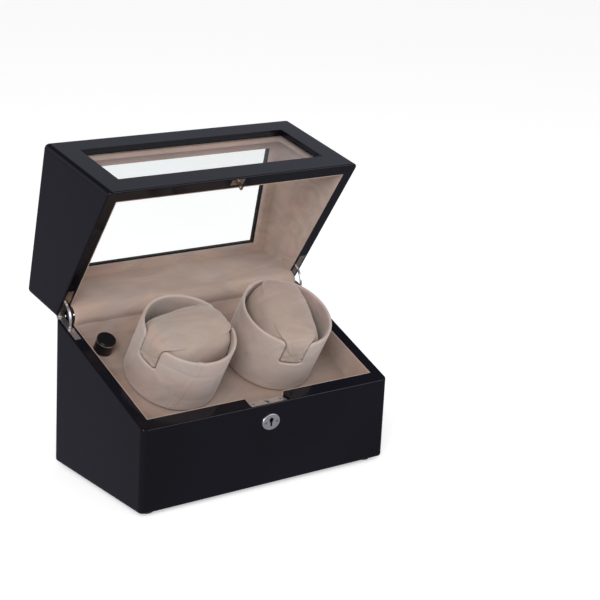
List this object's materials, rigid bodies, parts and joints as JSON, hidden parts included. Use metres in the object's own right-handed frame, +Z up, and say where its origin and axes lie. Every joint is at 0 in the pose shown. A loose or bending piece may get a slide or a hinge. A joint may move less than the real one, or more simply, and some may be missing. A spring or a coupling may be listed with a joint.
{
  "type": "watch winder box",
  "caption": "Lacquered watch winder box with a raised slant-cut glazed lid, suede-lined deck, belt-driven cups holding watch cushions, control knob and lock.",
  "frame": {"origin": "centre of the flat underside of the box; the feet reach 4 mm below it", "axes": "+Z up, +Y towards the back where the lid is hinged, +X to the right as seen from the front"},
  "size_m": [0.275, 0.205, 0.3],
  "materials": {
    "lacquered_wood": "black high-gloss lacquer over fibreboard",
    "raw_board": "bare board",
    "suede_lining": "short-napped suede cloth on card",
    "cup_suede": "short-napped suede cloth",
    "cup_core": "moulded shell",
    "cushion_velvet": "velvet over soft filling",
    "glass": "clear",
    "black_plastic": "moulded",
    "knob_black": "satin black",
    "chrome": "bright",
    "rubber": "matt",
    "steel": "plain",
    "nickel": "satin nickel plate",
    "bronze_bush": "sintered",
    "hinge_metal": "plated",
    "circuit_board": "fibreglass board"
  },
  "bodies": {
    "base": {"base_front_panel": "lacquered_wood", "base_back_panel": "lacquered_wood", "base_left_panel": "lacquered_wood", "base_right_panel": "lacquered_wood", "base_bottom_board": "lacquered_wood", "deck_board": "raw_board", "deck_cleats": "raw_board", "base_wall_lining": "suede_lining", "deck_lining": "suede_lining", "switch_body": "black_plastic", "dc_jack": "black_plastic", "board_standoffs": "black_plastic", "feet": "rubber", "belt_left": "rubber", "belt_right": "rubber", "motor_bracket": "steel", "motor_screws": "steel", "gear_motor": "steel", "lock_case": "steel", "keyhole_escutcheon": "nickel", "lock_face_plate": "nickel", "hinge_base_leaf_left": "nickel", "hinge_base_leaf_right": "nickel", "hinge_pins": "nickel", "base_wood_screws": "nickel", "spindle_bush_left": "bronze_bush", "spindle_bush_right": "bronze_bush", "escutcheon_pins": "hinge_metal", "control_board": "circuit_board"},
    "lid": {"lid_left_panel": "lacquered_wood", "lid_right_panel": "lacquered_wood", "lid_front_frame": "lacquered_wood", "lid_back_rail": "lacquered_wood", "lid_top_frame": "lacquered_wood", "glass_front": "glass", "glass_top": "glass", "glass_beads": "suede_lining", "lid_wall_lining": "suede_lining", "lid_top_lining": "suede_lining", "strike_plate": "hinge_metal", "hinge_lid_leaf_left": "hinge_metal", "hinge_lid_leaf_right": "hinge_metal", "hinge_lid_screws": "hinge_metal"},
    "stay_arms": {"stay_arms": "nickel"},
    "turntable_left": {"spindle_left": "steel", "belt_drum_left": "black_plastic", "cup_shell_left": "cup_core", "cup_cover_left": "cup_suede"},
    "turntable_right": {"spindle_right": "steel", "belt_drum_right": "black_plastic", "cup_shell_right": "cup_core", "cup_cover_right": "cup_suede"},
    "cushion_left": {"cushion_left": "cushion_velvet"},
    "cushion_right": {"cushion_right": "cushion_velvet"},
    "motor_pulley": {"motor_pulley": "black_plastic", "motor_shaft": "steel"},
    "knob": {"knob": "knob_black", "knob_ring": "chrome", "switch_shaft": "steel"},
    "lock_bolt": {"lock_bolt": "steel"}
  },
  "joints": [
    {"name": "lid_hinge", "type": "hinge", "parent": "base", "child": "lid", "pos_m": [0, 0.075, 0.139], "axis": [-1, 0, 0], "range_deg": [-78.8, 0]},
    {"name": "stay_arm_slide", "type": "hinge", "parent": "base", "child": "stay_arms", "pos_m": [0, 0.075, 0.139], "axis": [-1, 0, 0], "range_deg": [-39.5, 0]},
    {"name": "turntable_left_spin", "type": "hinge", "parent": "base", "child": "turntable_left", "pos_m": [-0.055, 0.0087, 0.08912], "axis": [0, -0.4866, 0.8736], "continuous": true},
    {"name": "turntable_right_spin", "type": "hinge", "parent": "base", "child": "turntable_right", "pos_m": [0.055, 0.0087, 0.08912], "axis": [0, -0.4866, 0.8736], "continuous": true},
    {"name": "motor_pulley_spin", "type": "hinge", "parent": "base", "child": "motor_pulley", "pos_m": [0, 0.0087, 0.08912], "axis": [0, -0.4866, 0.8736], "continuous": true},
    {"name": "cushion_left_lift", "type": "slide", "parent": "turntable_left", "child": "cushion_left", "axis": [0, -0.4866, 0.8736], "range_m": [0, 0.07]},
    {"name": "cushion_right_lift", "type": "slide", "parent": "turntable_right", "child": "cushion_right", "axis": [0, -0.4866, 0.8736], "range_m": [0, 0.07]},
    {"name": "knob_turn", "type": "hinge", "parent": "base", "child": "knob", "pos_m": [-0.104, 0.04723, 0.11058], "axis": [0, -0.4866, 0.8736], "range_deg": [-120, 0]},
    {"name": "lock_bolt_throw", "type": "slide", "parent": "base", "child": "lock_bolt", "axis": [1, 0, 0], "range_m": [0, 0.004]}
  ],
  "couplings": [
    {"joint": "stay_arm_slide", "follows": "lid_hinge", "ratio": 0.5},
    {"joint": "turntable_right_spin", "follows": "turntable_left_spin", "ratio": 1},
    {"joint": "motor_pulley_spin", "follows": "turntable_left_spin", "ratio": 5}
  ]
}
